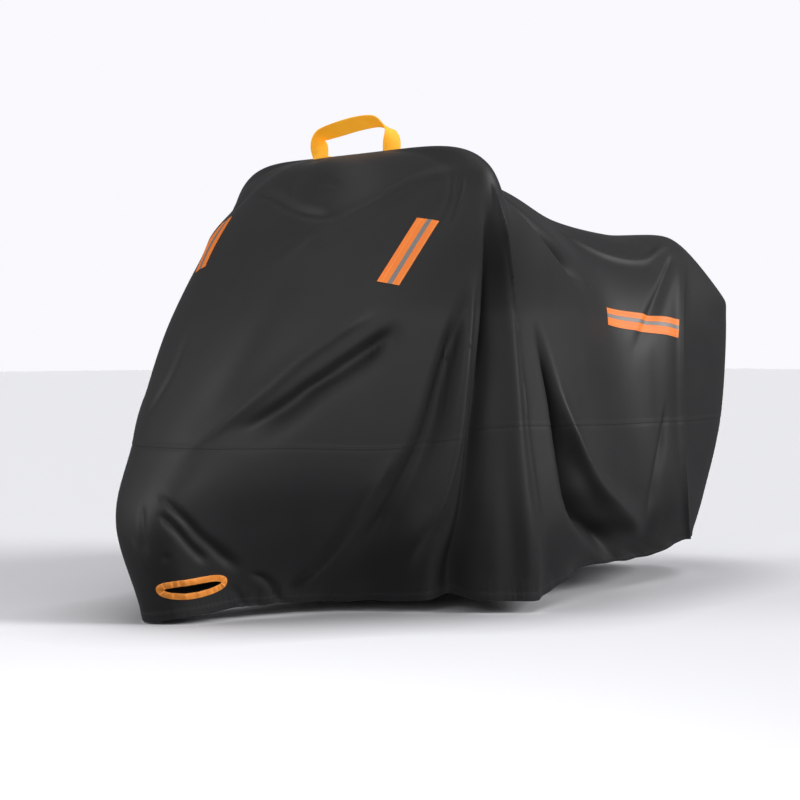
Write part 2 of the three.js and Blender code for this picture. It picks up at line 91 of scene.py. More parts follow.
FOLDS = [
    # name, height, half widths, lean, crisp, fades, far side, path of (station, level); millimetres.
    # Lean widens a fold on the right of its path, seen from outside, and narrows it on the left.
    ["front pleat", 34, (24, 62), 0.35, 0.1, (0.35, 0.15), 0.8,
     [(3.66, 1.66), (3.68, 1.89), (3.62, 2.22), (3.57, 2.55), (3.53, 3.0), (3.48, 3.42),
      (3.42, 3.8), (3.3, 4.2), (3.25, 4.86)]],
    ["valley of the front pleat", -32, (24, 60), 0, 0, (0.25, 0.25), 0.8,
     [(3.58, 1.78), (3.5, 2.04), (3.41, 2.28), (3.32, 2.55), (3.22, 2.95), (3.12, 3.36),
      (3.04, 3.88), (2.96, 4.29), (2.9, 4.85)]],
    ["valley before the horn", -56, (18, 78), -0.35, 0.2, (0.35, 0), 0.8,
     [(3.66, 1.3), (3.84, 1.55), (3.98, 1.9), (3.92, 2.24), (3.84, 2.54), (3.73, 2.95),
      (3.66, 3.52), (3.62, 4), (3.58, 4.5), (3.6, 5)]],
    ["horn ridge", 26, (30, 56), 0, 0, (0.1, 0), 0.8,
     [(3.95, 1.2), (4.14, 1.56), (4.34, 1.75), (4.42, 2.0), (4.36, 2.4), (4.28, 2.95),
      (4.27, 3.5), (4.33, 4.0), (4.56, 5)]],
    ["crest of the horn ridge", 12, (7, 13), -0.3, 0.9, (0.04, 0.3), 0.8,
     [(3.9, 1.2), (4.02, 1.42), (4.2, 1.58), (4.42, 1.8), (4.54, 2.13), (4.5, 2.57), (4.46, 3.03),
      (4.5, 3.55), (4.6, 4.1), (4.9, 4.7)]],
    ["valley behind the horn", -66, (20, 66), -0.3, 0.1, (0.3, 0.15), 0.8,
     [(5.16, 2.05), (5.2, 2.4), (5.24, 2.8), (5.25, 3.3), (5.33, 3.8), (5.7, 4.15), (6.3, 4.5),
      (6.9, 4.85)]],
    ["ridge behind the horn", 34, (22, 60), -0.3, 0.1, (0.3, 0.2), 0.8,
     [(5.22, 2.2), (5.33, 2.65), (5.45, 3.06), (5.6, 3.37), (5.82, 3.65), (6.25, 3.9),
      (7.05, 4.24), (7.64, 4.55)]],
    ["hollow above the dip", -50, (32, 50), -0.3, 0, (0.15, 0.4), 0.8,
     [(5.05, 0.74), (5.4, 0.94), (5.7, 1.14), (5.98, 1.32), (6.26, 1.48), (6.6, 1.64)]],
    ["brow ridge", 18, (26, 50), 0, 0.3, (0.25, 0.3), 0.6,
     [(3.5, 0.98), (2.8, 0.93), (2.24, 1.02), (1.84, 1.13), (1.5, 1.23), (1.22, 1.34),
      (0.96, 1.46), (0.6, 1.68)]],
    ["swag over the front", 15, (24, 34), 0.4, 0.3, (0.15, 0.4), 0.6,
     [(2.5, 1.95), (2.18, 2.09), (1.98, 2.2), (1.72, 2.35), (1.5, 2.53), (1.3, 2.67), (1.1, 2.81),
      (0.84, 2.97), (0.5, 3.17)]],
    ["deep front trough", -38, (32, 46), -0.5, 0, (0.2, 0.3), 0.6,
     [(2.74, 2.05), (2.48, 2.22), (2.22, 2.37), (1.96, 2.52), (1.74, 2.66), (1.5, 2.79), (1.2, 2.9)]],
    ["sag over the front", -16, (22, 26), 0, 0.6, (0.3, 0.3), 0,
     [(-1.27, 0.76), (-0.26, 0.87), (0.58, 1.1), (1.45, 1.27)]],
    ["skirt crease", 16, (12, 26), 0.45, 0.4, (0.3, 0.15), 0.6,
     [(2.96, 3.0), (2.9, 3.2), (2.84, 3.5), (2.8, 3.93), (2.72, 4.26), (2.58, 4.57), (2.42, 4.82)]],
    ["nose trough, upper", -14, (10, 22), -0.3, 0.1, (0.2, 0.2), 0,
     [(0.5, 3.46), (1.08, 3.82), (1.38, 4.08), (1.62, 4.3), (1.86, 4.58)]],
    ["nose trough, lower", -11, (12, 20), -0.3, 0.1, (0.2, 0.2), 0,
     [(0.7, 3.76), (1.06, 4.0), (1.28, 4.22), (1.48, 4.44)]],
    ["corner hollow", -12, (14, 40), -0.4, 0.1, (0.15, 0.4), 0.8,
     [(8.8, 1.15), (8.58, 1.38), (8.35, 1.62), (8.1, 1.88), (7.72, 2.19), (7.3, 2.45)]],
    ["haunch trough", -13, (14, 38), -0.4, 0.2, (0.3, 0.4), 0.8,
     [(8.54, 2.75), (8.18, 3.19), (7.84, 3.6), (7.62, 4.0), (7.38, 4.4)]],
    ["crest along the dip", 14, (24, 26), 0, 0.8, (0.2, 0.1), 1,
     [(6.6, 0.66), (7.15, 0.92), (7.5, 1.05), (8.0, 1.06), (8.9, 0.96)]],
    ["corner ridge", 14, (20, 24), 0, 0.8, (0.05, 0), 1,
     [(9.0, 0.98), (9.0, 2.0), (9.0, 3.0), (9.0, 4.0), (9.0, 5.0)]],
]
CREASES = [
    # the same columns, for what is too fine for the solids
    ["ridge between the nose troughs", 5, (9, 12), 0, 0.4, (0.2, 0.3), 0,
     [(0.65, 3.58), (1.05, 3.82), (1.4, 4.1), (1.7, 4.42)]],
    ["nose dimple", -6, (14, 14), 0, 0.2, (0.5, 0.5), 0, [(0.8, 4.28), (0.9, 4.33)]],
    ["nose crease", 4, (8, 8), 0, 0.5, (0.3, 0.3), 0, [(0.05, 4.08), (0.45, 4.5)]],
    ["hem gather", -12, (9, 12), 0, 0.4, (0.3, 0.1), 0, [(1.95, 4.55), (2.14, 4.7), (2.26, 5.0)]],
    ["hem gather", -8, (7, 8), 0, 0.4, (0.3, 0.1), 0, [(1.72, 4.7), (1.84, 5.0)]],
    ["hem gather", -8, (7, 8), 0, 0.4, (0.3, 0.1), 0, [(2.06, 4.75), (1.97, 5.0)]],
    ["skirt trough", -8, (8, 16), -0.3, 0.3, (0.3, 0.1), 0,
     [(2.82, 3.11), (2.77, 3.45), (2.7, 3.8), (2.64, 4.2), (2.55, 4.48), (2.4, 4.68), (2.3, 4.9)]],
    ["front streak", -10, (14, 16), 0, 0.3, (0.3, 0.3), 0,
     [(2.6, 2.21), (2.46, 2.33), (2.14, 2.47), (1.83, 2.58)]],
    ["front streak", -8, (9, 14), 0, 0.3, (0.3, 0.3), 0, [(2.65, 2.11), (2.51, 2.26), (2.23, 2.4)]],
    ["left crease", -8, (10, 14), 0, 0.5, (0.3, 0.3), 0, [(-0.31, 2.1), (-0.27, 2.45), (-0.6, 2.84)]],
    ["nose band", -5, (16, 20), 0, 0.2, (0.3, 0.3), 0, [(0.26, 3.62), (0.41, 4.0), (0.45, 4.33)]],
    ["short crease by the horn", -9, (7, 12), 0, 0.5, (0.3, 0.4), 0,
     [(3.1, 0.95), (2.93, 1.27), (2.75, 1.5)]],
    ["short crease by the horn", -9, (7, 12), 0, 0.5, (0.3, 0.4), 0,
     [(3.3, 1.02), (3.1, 1.27), (2.98, 1.5)]],
    ["thin crease over the front", -5, (6, 8), 0, 0.8, (0.3, 0.3), 0,
     [(1.26, 1.24), (0.93, 1.38), (0.42, 1.56)]],
    ["dash on the top", -6, (6, 8), 0, 0.4, (0.4, 0.4), 0, [(0.63, 0.71), (1.22, 0.83)]],
    ["pinch on the top", -5, (6, 6), 0, 0.4, (0.4, 0.4), 0, [(0.0, 0.66), (0.26, 0.91)]],
]


def half_section(name, spine, crown, chest, seam, shin, hem):
    return [spine, crown, (*chest, chest_z), seam, (*shin, shin_z), hem]


near_side = np.array([half_section(*row) for row in STATIONS], float) * (1, -1, 1)
far_side = near_side[-2:0:-1] * (1, -1, 1)
ring = np.concatenate([near_side, far_side])


def hermite(start, end, start_slope, end_slope, t):
    return (
        start * (2 * t**3 - 3 * t**2 + 1)
        + start_slope * (t**3 - 2 * t**2 + t)
        + end * (3 * t**2 - 2 * t**3)
        + end_slope * (t**3 - t**2)
    )


def smooth_cloth(station, level):
    """Points of the cloth without folds, in millimetres."""
    k = np.floor(station).astype(int)
    t = (station - k)[..., None, None]
    p0, p1, p2, p3 = (ring[(k + n) % RING] for n in (-1, 0, 1, 2))
    points = hermite(p1, p2, (p2 - p0) / 2, (p3 - p1) / 2, t)
    slopes = np.empty_like(points)
    slopes[..., 1:-1, :] = (points[..., 2:, :] - points[..., :-2, :]) / 2
    slopes[..., -1, :] = points[..., -1, :] - points[..., -2, :]
    slopes[..., 0, :] = (points[..., 1, :] - points[..., 0, :]) * (1.5, 1.5, 0)
    j = np.clip(np.floor(level).astype(int), 0, HEM - 1)
    at = lambda values, n: np.take_along_axis(values, (j + n)[..., None, None], -2)[..., 0, :]
    return hermite(at(points, 0), at(points, 1), at(slopes, 0), at(slopes, 1), (level - j)[..., None])


def outward(station, level):
    along = smooth_cloth(station + 0.01, level) - smooth_cloth(station - 0.01, level)
    down = smooth_cloth(station, np.minimum(level + 0.01, HEM)) - smooth_cloth(
        station, np.maximum(level - 0.01, 0)
    )
    normal = np.cross(down, along)
    return normal / np.linalg.norm(normal, axis=-1, keepdims=True)


def smoothstep(t):
    t = np.clip(t, 0, 1)
    return t * t * (3 - 2 * t)


def curve_through(points, count):
    """Evenly spaced points of a smooth curve through a few."""
    points = np.array([2 * np.array(points[0]) - points[1], *points, 2 * np.array(points[-1]) - points[-2]])
    t = np.linspace(0, len(points) - 3, count, endpoint=True)
    k = np.minimum(t.astype(int), len(points) - 4)
    p0, p1, p2, p3 = (points[k + n] for n in range(4))
    return hermite(p1, p2, (p2 - p0) / 2, (p3 - p1) / 2, (t - k)[:, None])


def fold_height(place, normal, row, side):
    """How far one fold raises the cloth at each place, in millimetres."""
    name, height, widths, lean, crisp, fades, far, path = row
    if side < 0:
        height = height * far
    route = curve_through(path, 25)
    chain = smooth_cloth(side * route[:, 0], np.clip(route[:, 1], 0, HEM))
    rise = np.zeros(len(place))
    middle = chain.mean(0)
    reach = np.linalg.norm(chain - middle, axis=1).max() + 3 * max(widths) * (1 + abs(lean))
    near = np.linalg.norm(place - middle, axis=1) < reach
    if not near.any():
        return rise
    spots = place[near]
    closest = ((chain * chain).sum(1) - 2 * spots @ chain.T).argmin(1)
    legs = np.clip(closest[:, None] + (-1, 0), 0, len(chain) - 2)
    leg = chain[legs + 1] - chain[legs]
    offset = spots[:, None] - chain[legs]
    t = np.clip((offset * leg).sum(2) / (leg * leg).sum(2), 0, 1)
    distance = np.linalg.norm(offset - t[..., None] * leg, axis=2)
    rows = np.arange(len(spots))
    best = distance.argmin(1)
    leg, offset = leg[rows, best], offset[rows, best]
    along = (legs[rows, best] + t[rows, best]) / (len(chain) - 1)
    left = np.sign((np.cross(leg, offset) * normal[near]).sum(1)) * side
    off = distance[rows, best] / ((widths[0] + (widths[1] - widths[0]) * along) * (1 - lean * left))
    soft = np.exp(-2.2 * off**2)
    sharp = np.exp(-2.6 * (np.sqrt(off**2 + 0.006) - 0.077))
    fade = smoothstep(along / fades[0]) if fades[0] else 1.0
    fade = fade * (smoothstep((1 - along) / fades[1]) if fades[1] else 1.0)
    rise[near] = height * fade * (soft * (1 - crisp) + sharp * crisp)
    return rise


def drape(station, level):
    """The outer face of the draped cloth, in millimetres."""
    station, level = np.broadcast_arrays(np.asarray(station, float), np.asarray(level, float))
    place = smooth_cloth(station, level)
    normal = outward(station, level)
    spots, facings = place.reshape(-1, 3), normal.reshape(-1, 3)
    rise = np.zeros(len(spots))
    for row in FOLDS + CREASES:
        rise += fold_height(spots, facings, row, 1)
        if row[6]:
            rise += fold_height(spots, facings, row, -1)
    rise = rise.reshape(level.shape) * smoothstep(level / 0.25)
    return place + normal * rise[..., None]


LINES = [
    # name, station at the spine, crown, chest, seam, shin and hem, columns of the mesh to the next
    ["nose", 0, 0, 0, 0, 0, 0, 80],
    ["front pleat", 3.7, 3.7, 3.66, 3.53, 3.36, 3.25, 14],
    ["valley before the horn", 3.95, 3.95, 3.96, 3.72, 3.62, 3.6, 28],
    ["horn ridge", 4.2, 4.2, 4.42, 4.3, 4.34, 4.56, 24],
    ["valley behind the horn", 5.1, 5.1, 5.15, 5.25, 5.5, 6.95, 18],
    ["ridge behind the horn", 5.5, 5.5, 5.38, 5.46, 6.45, 8.0, 84],
    ["corner", *[CORNER] * 6, 12],
    ["flank", *[10] * 6, 12],
    ["tail", *[TAIL] * 6, 0],
]
cloth_thick = 1.0
lap = 12                      # raised band along the seam; 0.4 of it has the lower panel under it
chest_to_seam = 345           # millimetres down the cloth
seam_edges = [3 - lap / chest_to_seam, 3 - 0.8 * lap / chest_to_seam, 3 - 0.4 * lap / chest_to_seam, 3]
upper_levels = np.array([
    *np.linspace(0, 1, 27),
    *np.linspace(1, 2, 37)[1:],
    *np.linspace(2, seam_edges[0], 34)[1:],
    *seam_edges[1:],
])


def lines_of_cloth(first, last):
    """Lines down the cloth between two stations of the near side, as the station at each level."""
    lines = []
    for row, following in zip(LINES[:-1], LINES[1:]):
        if first <= row[1] < last:
            start = np.array(row[1:7], float)
            end = np.array(following[1:7], float)
            lines += [start + (end - start) * k / row[7] for k in range(row[7])]
    return np.array(lines + [np.full(6, float(last))])


near_body = lines_of_cloth(0, CORNER)
body_lines = np.concatenate([-near_body[:0:-1], near_body])
near_tail = lines_of_cloth(CORNER, TAIL)
tail_lines = np.concatenate([near_tail, 2 * TAIL - near_tail[-2::-1]])


def with_midpoints(rows):
    rows = np.asarray(rows, float)
    finer = np.repeat(rows, 2, axis=0)[:-1]
    finer[1::2] = (rows[1:] + rows[:-1]) / 2
    return finer


def cloth_grid(lines, levels):
    """Points and outward directions of the cloth. Twice as many are draped and then evened out."""
    lines, levels = with_midpoints(lines), with_midpoints(levels)
    k = np.minimum(levels.astype(int), HEM - 1)
    t = levels - k
    points = drape(lines[:, k] * (1 - t) + lines[:, k + 1] * t, levels)
    for axis in (0, 1):
        inner = np.moveaxis(points, axis, 0)
        evened = inner.copy()
        evened[2:-2] = (inner[:-4] + 4 * inner[1:-3] + 6 * inner[2:-2] + 4 * inner[3:-1] + inner[4:]) / 16
        points = np.moveaxis(evened, 0, axis)
    points = points[::2, ::2]
    normals = np.cross(np.gradient(points, axis=1), np.gradient(points, axis=0))
    return points, normals / np.maximum(np.linalg.norm(normals, axis=2, keepdims=True), 1e-9)


def row_frame(points):
    """Millimetres from the nose and the ground to metres in the frame's place."""
    return (np.asarray(points, float) - (middle_x, 0, lowest_z)) / 1000


def cloth_sheet(name, points, thick=cloth_thick):
    """A closed sheet of cloth whose outer face runs through a grid of points."""
    columns, rows = points.shape[:2]
    places = row_frame(points)
    number = np.arange(columns * rows).reshape(columns, rows)
    faces = np.stack(
        [number[:-1, :-1], number[:-1, 1:], number[1:, 1:], number[1:, :-1]], axis=2
    ).reshape(-1, 4)
    mesh = bpy.data.meshes.new(name)
    mesh.from_pydata(places.reshape(-1, 3).tolist(), [], faces.tolist())
    down = np.zeros((columns, rows))
    down[:, 1:] = np.cumsum(np.linalg.norm(np.diff(places, axis=1), axis=2), axis=1)
    along = np.zeros(columns)
    along[1:] = np.cumsum(np.linalg.norm(np.diff(places, axis=0), axis=2).mean(1))
    for layer, across in (("weave", down), ("from lower edge", down[:, -1:] - down)):
        cut = np.stack([np.broadcast_to(along[:, None], down.shape), across], axis=2).reshape(-1, 2)
        cloth_map = mesh.uv_layers.new(name=layer)
        cloth_map.data.foreach_set("uv", cut[faces.reshape(-1)].astype(np.float32).reshape(-1))
    sheet = bpy.data.objects.new(name, mesh)
    bpy.context.scene.collection.objects.link(sheet)
    bpy.ops.object.select_all(action="DESELECT")
    sheet.select_set(True)
    bpy.context.view_layer.objects.active = sheet
    bpy.ops.object.mode_set(mode="EDIT")
    bpy.ops.mesh.select_all(action="SELECT")
    bpy.ops.mesh.remove_doubles(threshold=0.00002)
    bpy.ops.object.mode_set(mode="OBJECT")
    wall = sheet.modifiers.new("wall", "SOLIDIFY")
    wall.thickness = thick / 1000
    wall.offset = -1
    bpy.ops.object.modifier_apply(modifier=wall.name)
    bpy.ops.object.shade_smooth_by_angle(angle=math.radians(55))
    return sheet


def shader_nodes(material):
    material.use_nodes = True
    nodes = material.node_tree.nodes
    return nodes, material.node_tree.links, nodes["Principled BSDF"]


def math_node(nodes, links, operation, *values):
    node = nodes.new("ShaderNodeMath")
    node.operation = operation
    for k, value in enumerate(values):
        if isinstance(value, (int, float)):
            node.inputs[k].default_value = value
        else:
            links.new(value, node.inputs[k])
    return node.outputs[0]


def group_with(name, inputs, outputs):
    group = bpy.data.node_groups.new(name, "ShaderNodeTree")
    for label, kind, value in inputs:
        socket = group.interface.new_socket(label, in_out="INPUT", socket_type=kind)
        if value is not None:
            socket.default_value = value
    for label, kind in outputs:
        group.interface.new_socket(label, in_out="OUTPUT", socket_type=kind)
    return group, group.nodes.new("NodeGroupInput"), group.nodes.new("NodeGroupOutput")


weave_group, given, result = group_with(
    "plain weave",
    [("Thread", "NodeSocketVector", None), ("Pitch", "NodeSocketFloat", 0.0008)],
    [("Height", "NodeSocketFloat")],
)
nodes, links = weave_group.nodes, weave_group.links
split = nodes.new("ShaderNodeSeparateXYZ")
links.new(given.outputs["Thread"], split.inputs[0])
turns = math_node(nodes, links, "DIVIDE", math.tau / 2, given.outputs["Pitch"])
warp = math_node(nodes, links, "SINE", math_node(nodes, links, "MULTIPLY", split.outputs[0], turns))
weft = math_node(nodes, links, "SINE", math_node(nodes, links, "MULTIPLY", split.outputs[1], turns))
links.new(math_node(nodes, links, "MULTIPLY", warp, weft), result.inputs["Height"])

crumple_group, given, result = group_with(
    "handling creases",
    [("Place", "NodeSocketVector", None), ("Scale", "NodeSocketFloat", 7.0)],
    [("Soft", "NodeSocketFloat"), ("Ridged", "NodeSocketFloat")],
)
nodes, links = crumple_group.nodes, crumple_group.links
broad = nodes.new("ShaderNodeTexNoise")
broad.inputs["Detail"].default_value = 2.0
links.new(given.outputs["Place"], broad.inputs["Vector"])
links.new(given.outputs["Scale"], broad.inputs["Scale"])
ridged = nodes.new("ShaderNodeTexNoise")
ridged.noise_type = "RIDGED_MULTIFRACTAL"
ridged.inputs["Detail"].default_value = 3.0
links.new(given.outputs["Place"], ridged.inputs["Vector"])
links.new(math_node(nodes, links, "MULTIPLY", given.outputs["Scale"], 1.3), ridged.inputs["Scale"])
links.new(broad.outputs[0], result.inputs["Soft"])
links.new(ridged.outputs[0], result.inputs["Ridged"])


def hump(nodes, links, value, half):
    """1 where the value is 0, and falling to 0 at half on either side."""
    part = math_node(nodes, links, "DIVIDE", value, half)
    fall = math_node(nodes, links, "SUBTRACT", 1.0, math_node(nodes, links, "MULTIPLY", part, part))
    return math_node(nodes, links, "MAXIMUM", fall, 0.0)


stitch_group, given, result = group_with(
    "two rows of stitches",
    [
        ("Place", "NodeSocketVector", None),
        ("First", "NodeSocketFloat", 0.003),
        ("Second", "NodeSocketFloat", 0.009),
        ("Pitch", "NodeSocketFloat", 0.0042),
    ],
    [("Height", "NodeSocketFloat")],
)
nodes, links = stitch_group.nodes, stitch_group.links
split = nodes.new("ShaderNodeSeparateXYZ")
links.new(given.outputs["Place"], split.inputs[0])
turns = math_node(nodes, links, "DIVIDE", split.outputs[0], given.outputs["Pitch"])
part = math_node(nodes, links, "SUBTRACT", math_node(nodes, links, "FRACT", turns), 0.5)
rows = [
    math_node(
        nodes, links, "ABSOLUTE",
        math_node(nodes, links, "SUBTRACT", split.outputs[1], given.outputs[row]),
    )
    for row in ("First", "Second")
]
across_row = hump(nodes, links, math_node(nodes, links, "MINIMUM", *rows), 0.0008)
stitch = math_node(nodes, links, "MULTIPLY", hump(nodes, links, part, 0.38), across_row)
links.new(math_node(nodes, links, "SQRT", stitch), result.inputs["Height"])


def placed(nodes, links, group, layer=None, **values):
    """A node group in a material, reading the object's place or one of its cloth maps."""
    node = nodes.new("ShaderNodeGroup")
    node.node_tree = group
    for label, value in values.items():
        node.inputs[label].default_value = value
    if layer:
        source = nodes.new("ShaderNodeUVMap")
        source.uv_map = layer
        links.new(source.outputs["UV"], node.inputs[0])
    else:
        links.new(nodes.new("ShaderNodeTexCoord").outputs["Object"], node.inputs[0])
    return node


def blend(nodes, links, share, low, high):
    tint = nodes.new("ShaderNodeMix")
    tint.data_type = "RGBA"
    for label, colour in (("A", low), ("B", high)):
        if isinstance(colour, tuple):
            tint.inputs[label].default_value = (*colour, 1)
        else:
            links.new(colour, tint.inputs[label])
    links.new(share, tint.inputs["Factor"])
    return tint.outputs["Result"]


def relief(nodes, links, shader, *heights):
    """Bumps of the given heights in metres, added up, as the shader's normal."""
    total = 0.0
    for height, metres in heights:
        total = math_node(nodes, links, "MULTIPLY_ADD", height, metres, total)
    bump = nodes.new("ShaderNodeBump")
    bump.inputs["Distance"].default_value = 1.0
    links.new(total, bump.inputs["Height"])
    links.new(bump.outputs["Normal"], shader.inputs["Normal"])


def coated_cloth(name, first, second, drawn_in):
    """Coated cloth with two rows of stitches above its lower edge, and that edge drawn in or not."""
    material = bpy.data.materials.new(name)
    nodes, links, shader = shader_nodes(material)
    crumple = placed(nodes, links, crumple_group)
    weave = placed(nodes, links, weave_group, "weave", Pitch=0.0009)
    stitches = placed(nodes, links, stitch_group, "from lower edge", First=first, Second=second)
    soft, thread = crumple.outputs["Soft"], stitches.outputs["Height"]
    tone = blend(nodes, links, soft, (0.0105, 0.0105, 0.0115), (0.0155, 0.0155, 0.0165))
    links.new(blend(nodes, links, thread, tone, (0.019, 0.019, 0.021)), shader.inputs["Base Color"])
    rough = nodes.new("ShaderNodeMapRange")
    rough.inputs["To Min"].default_value = 0.48
    rough.inputs["To Max"].default_value = 0.62
    links.new(soft, rough.inputs["Value"])
    links.new(rough.outputs["Result"], shader.inputs["Roughness"])
    heights = [
        (soft, 0.0012),
        (crumple.outputs["Ridged"], 0.00035),
        (weave.outputs[0], 0.00002),
        (thread, 0.0004),
    ]
    if drawn_in:
        place = nodes.new("ShaderNodeUVMap")
        place.uv_map = "from lower edge"
        gathers = nodes.new("ShaderNodeTexNoise")
        gathers.inputs["Scale"].default_value = 1.0
        stretched = nodes.new("ShaderNodeVectorMath")
        stretched.operation = "MULTIPLY"
        stretched.inputs[1].default_value = (65, 7, 0)
        links.new(place.outputs["UV"], stretched.inputs[0])
        links.new(stretched.outputs[0], gathers.inputs["Vector"])
        split = nodes.new("ShaderNodeSeparateXYZ")
        links.new(place.outputs["UV"], split.inputs[0])
        near_hem = hump(nodes, links, split.outputs[1], 0.07)
        heights.append((math_node(nodes, links, "MULTIPLY", gathers.outputs[0], near_hem), drawn_in))
    relief(nodes, links, shader, *heights)
    shader.inputs["Sheen Weight"].default_value = 0.03
    shader.inputs["Sheen Roughness"].default_value = 0.45
    shader.inputs["Specular IOR Level"].default_value = 0.36
    return material


cloth = coated_cloth("charcoal coated polyester", 0.003, 0.009, 0)
upper_points, upper_normals = cloth_grid(body_lines, upper_levels)
welt = smoothstep((upper_levels - seam_edges[0]) / (seam_edges[1] - seam_edges[0])) * 0.4
upper_points = upper_points + upper_normals * welt[None, :, None]
body_upper = cloth_sheet("upper_panel", upper_points)
body_upper.data.materials.append(cloth)
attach(body_upper, "root")
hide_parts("body_upper")


# The lower body panel. The skirt of the cover hangs from the horizontal seam to the hem, which
# is turned up and drawn in by its elastic. Its top edge lies under the upper panel's edge. A slot
# is cut through it on each side of the nose.
SLOTS = [
    # side, station and level of the middle, and of a point further along
    ["left", (1.17, 4.68), (1.42, 4.665)],
    ["right", (-1.3, 4.68), (-1.55, 4.665)],
]
slot_long = 150
slot_high = 22
slot_steps = 192              # points round the opening


def slot_edge(turn):
    """Points round a slot's pointed oval opening, and the outward direction at each."""
    c, s = np.cos(turn), np.sin(turn)
    place = np.stack([
        slot_long / 2 * np.copysign(abs(c) ** 0.9, c),
        slot_high / 2 * np.copysign(abs(s) ** 1.1, s),
    ], axis=1)
    run = np.roll(place, -1, axis=0) - np.roll(place, 1, axis=0)
    out = np.stack([run[:, 1], -run[:, 0]], axis=1)
    return place, out / np.linalg.norm(out, axis=1, keepdims=True)


slot_turns = np.linspace(0, math.tau, slot_steps + 1)[:-1]
opening, opening_out = slot_edge(slot_turns)


def place_on_cloth(middle, towards):
    """Centre, run, rise and outward direction of a flat piece laid on the cloth, in millimetres."""
    centre = drape(*middle)
    out = outward(np.array(middle[0], float), np.array(middle[1], float))
    run = drape(*towards) - centre
    run = run - out * (run @ out)
    run /= np.linalg.norm(run)
    return centre, run, np.cross(out, run), out


def surface_of(sheet):
    return BVHTree.FromPolygons(
        [vertex.co for vertex in sheet.data.vertices], [list(face.vertices) for face in sheet.data.polygons]
    )


hemmed_cloth = coated_cloth("charcoal coated polyester with a hem", 0.021, 0.025, 0.0025)
lower_levels = np.array([
    3 - 0.4 * lap / chest_to_seam, 3.0, *np.linspace(3.02, 4.9, 73), 4.92, 4.94, 4.96, 4.98, 5
])
lower_points, lower_normals = cloth_grid(body_lines, lower_levels)
tuck = -1.0 * (1 - smoothstep((lower_levels - 3.0) / 0.03))
turned_up = 0.9 * smoothstep((lower_levels - 4.9) / 0.02)


def hang(points, normals):
    """The panel's top edge tucked in, its hem of two layers, and the waves that its elastic leaves."""
    steps = np.linalg.norm(np.diff(points[:, -1], axis=0), axis=1)
    run = np.concatenate([[0], np.cumsum(steps)])
    ends = np.minimum(run, run[-1] - run)
    wave = sum(np.sin(math.tau * run / size + turn) for size, turn in ((311, 0.6), (197, 2.3), (127, 4.1)))
    wave *= smoothstep(ends / 120)
    out = (tuck + turned_up)[None] + 1.5 * wave[:, None] * smoothstep((lower_levels - 4.55) / 0.45)[None]
    points = points + normals * out[..., None]
    points[..., 2] += 0.7 * np.roll(wave, 3)[:, None] * smoothstep((lower_levels - 4.7) / 0.3)[None]
    return points


lower_points = hang(lower_points, lower_normals)
body_lower = cloth_sheet("skirt_panel", lower_points)
body_lower.data.materials.append(hemmed_cloth)
whole_skirt = surface_of(body_lower)
for side, middle, towards in SLOTS:
    centre, run, rise, out = place_on_cloth(middle, towards)
    bpy.ops.object.select_all(action="DESELECT")
    bpy.ops.mesh.primitive_circle_add(vertices=slot_steps // 2, radius=1, fill_type="NGON")
    cutter = bpy.context.object
    for vertex, place in zip(cutter.data.vertices, opening[::2] + opening_out[::2]):
        vertex.co = (place[0] / 1000, place[1] / 1000, 0)
    bpy.ops.object.mode_set(mode="EDIT")
    bpy.ops.mesh.select_all(action="SELECT")
    bpy.ops.mesh.extrude_region_move(TRANSFORM_OT_translate={"value": (0, 0, 0.08)})
    bpy.ops.mesh.select_all(action="SELECT")
    bpy.ops.mesh.normals_make_consistent(inside=False)
    bpy.ops.object.mode_set(mode="OBJECT")
    turned = Matrix([Vector(run), Vector(rise), Vector(out)]).transposed().to_4x4()
    cutter.matrix_world = Matrix.Translation(row_frame(centre - 40 * out)) @ turned
    cut = body_lower.modifiers.new("slot", "BOOLEAN")
    cut.object = cutter
    cut.operation = "DIFFERENCE"
    bpy.context.view_layer.objects.active = body_lower
    bpy.ops.object.modifier_apply(modifier=cut.name)
    bpy.data.objects.remove(cutter)
bpy.ops.object.select_all(action="DESELECT")
body_lower.select_set(True)
bpy.ops.object.shade_smooth_by_angle(angle=math.radians(55))
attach(body_lower, "root")
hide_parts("body_lower")


# The tail panels. A separate panel above and below the horizontal seam closes the back of the
# cover from one rear corner to the other. Each meets the body panel edge to edge there.
tail_points, tail_normals = cloth_grid(tail_lines, upper_levels)
tail_points = tail_points + tail_normals * welt[None, :, None]
tail_upper = cloth_sheet("tail_upper_panel", tail_points)
tail_upper.data.materials.append(cloth)
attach(tail_upper, "root")
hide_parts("tail_upper")
skirt_points, skirt_normals = cloth_grid(tail_lines, lower_levels)
skirt_points = hang(skirt_points, skirt_normals)
tail_lower = cloth_sheet("tail_skirt_panel", skirt_points)
tail_lower.data.materials.append(hemmed_cloth)
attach(tail_lower, "root")
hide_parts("tail_lower")


# The slot bindings. An orange tape is folded round the edge of each slot and sewn through it,
# so that the cloth doesn't fray there. The sewing draws it in, so it is puckered all round.
border_wide = 18
above_cloth = 0.4             # left between the cloth and what is sewn on it


def land_on(surface, points, out):
    """Where points fall on a surface along a direction, with its outward direction there."""
    places, normals = [], []
    for point in row_frame(points):
        place, normal, _, _ = surface.ray_cast(Vector(point) + Vector(out) * 0.08, -Vector(out))
        if place is None:
            place, normal = Vector(point), Vector(out)
        places.append(np.array(place) * 1000 + (middle_x, 0, lowest_z))
        normals.append(np.array(normal))
    return np.array(places), np.array(normals)


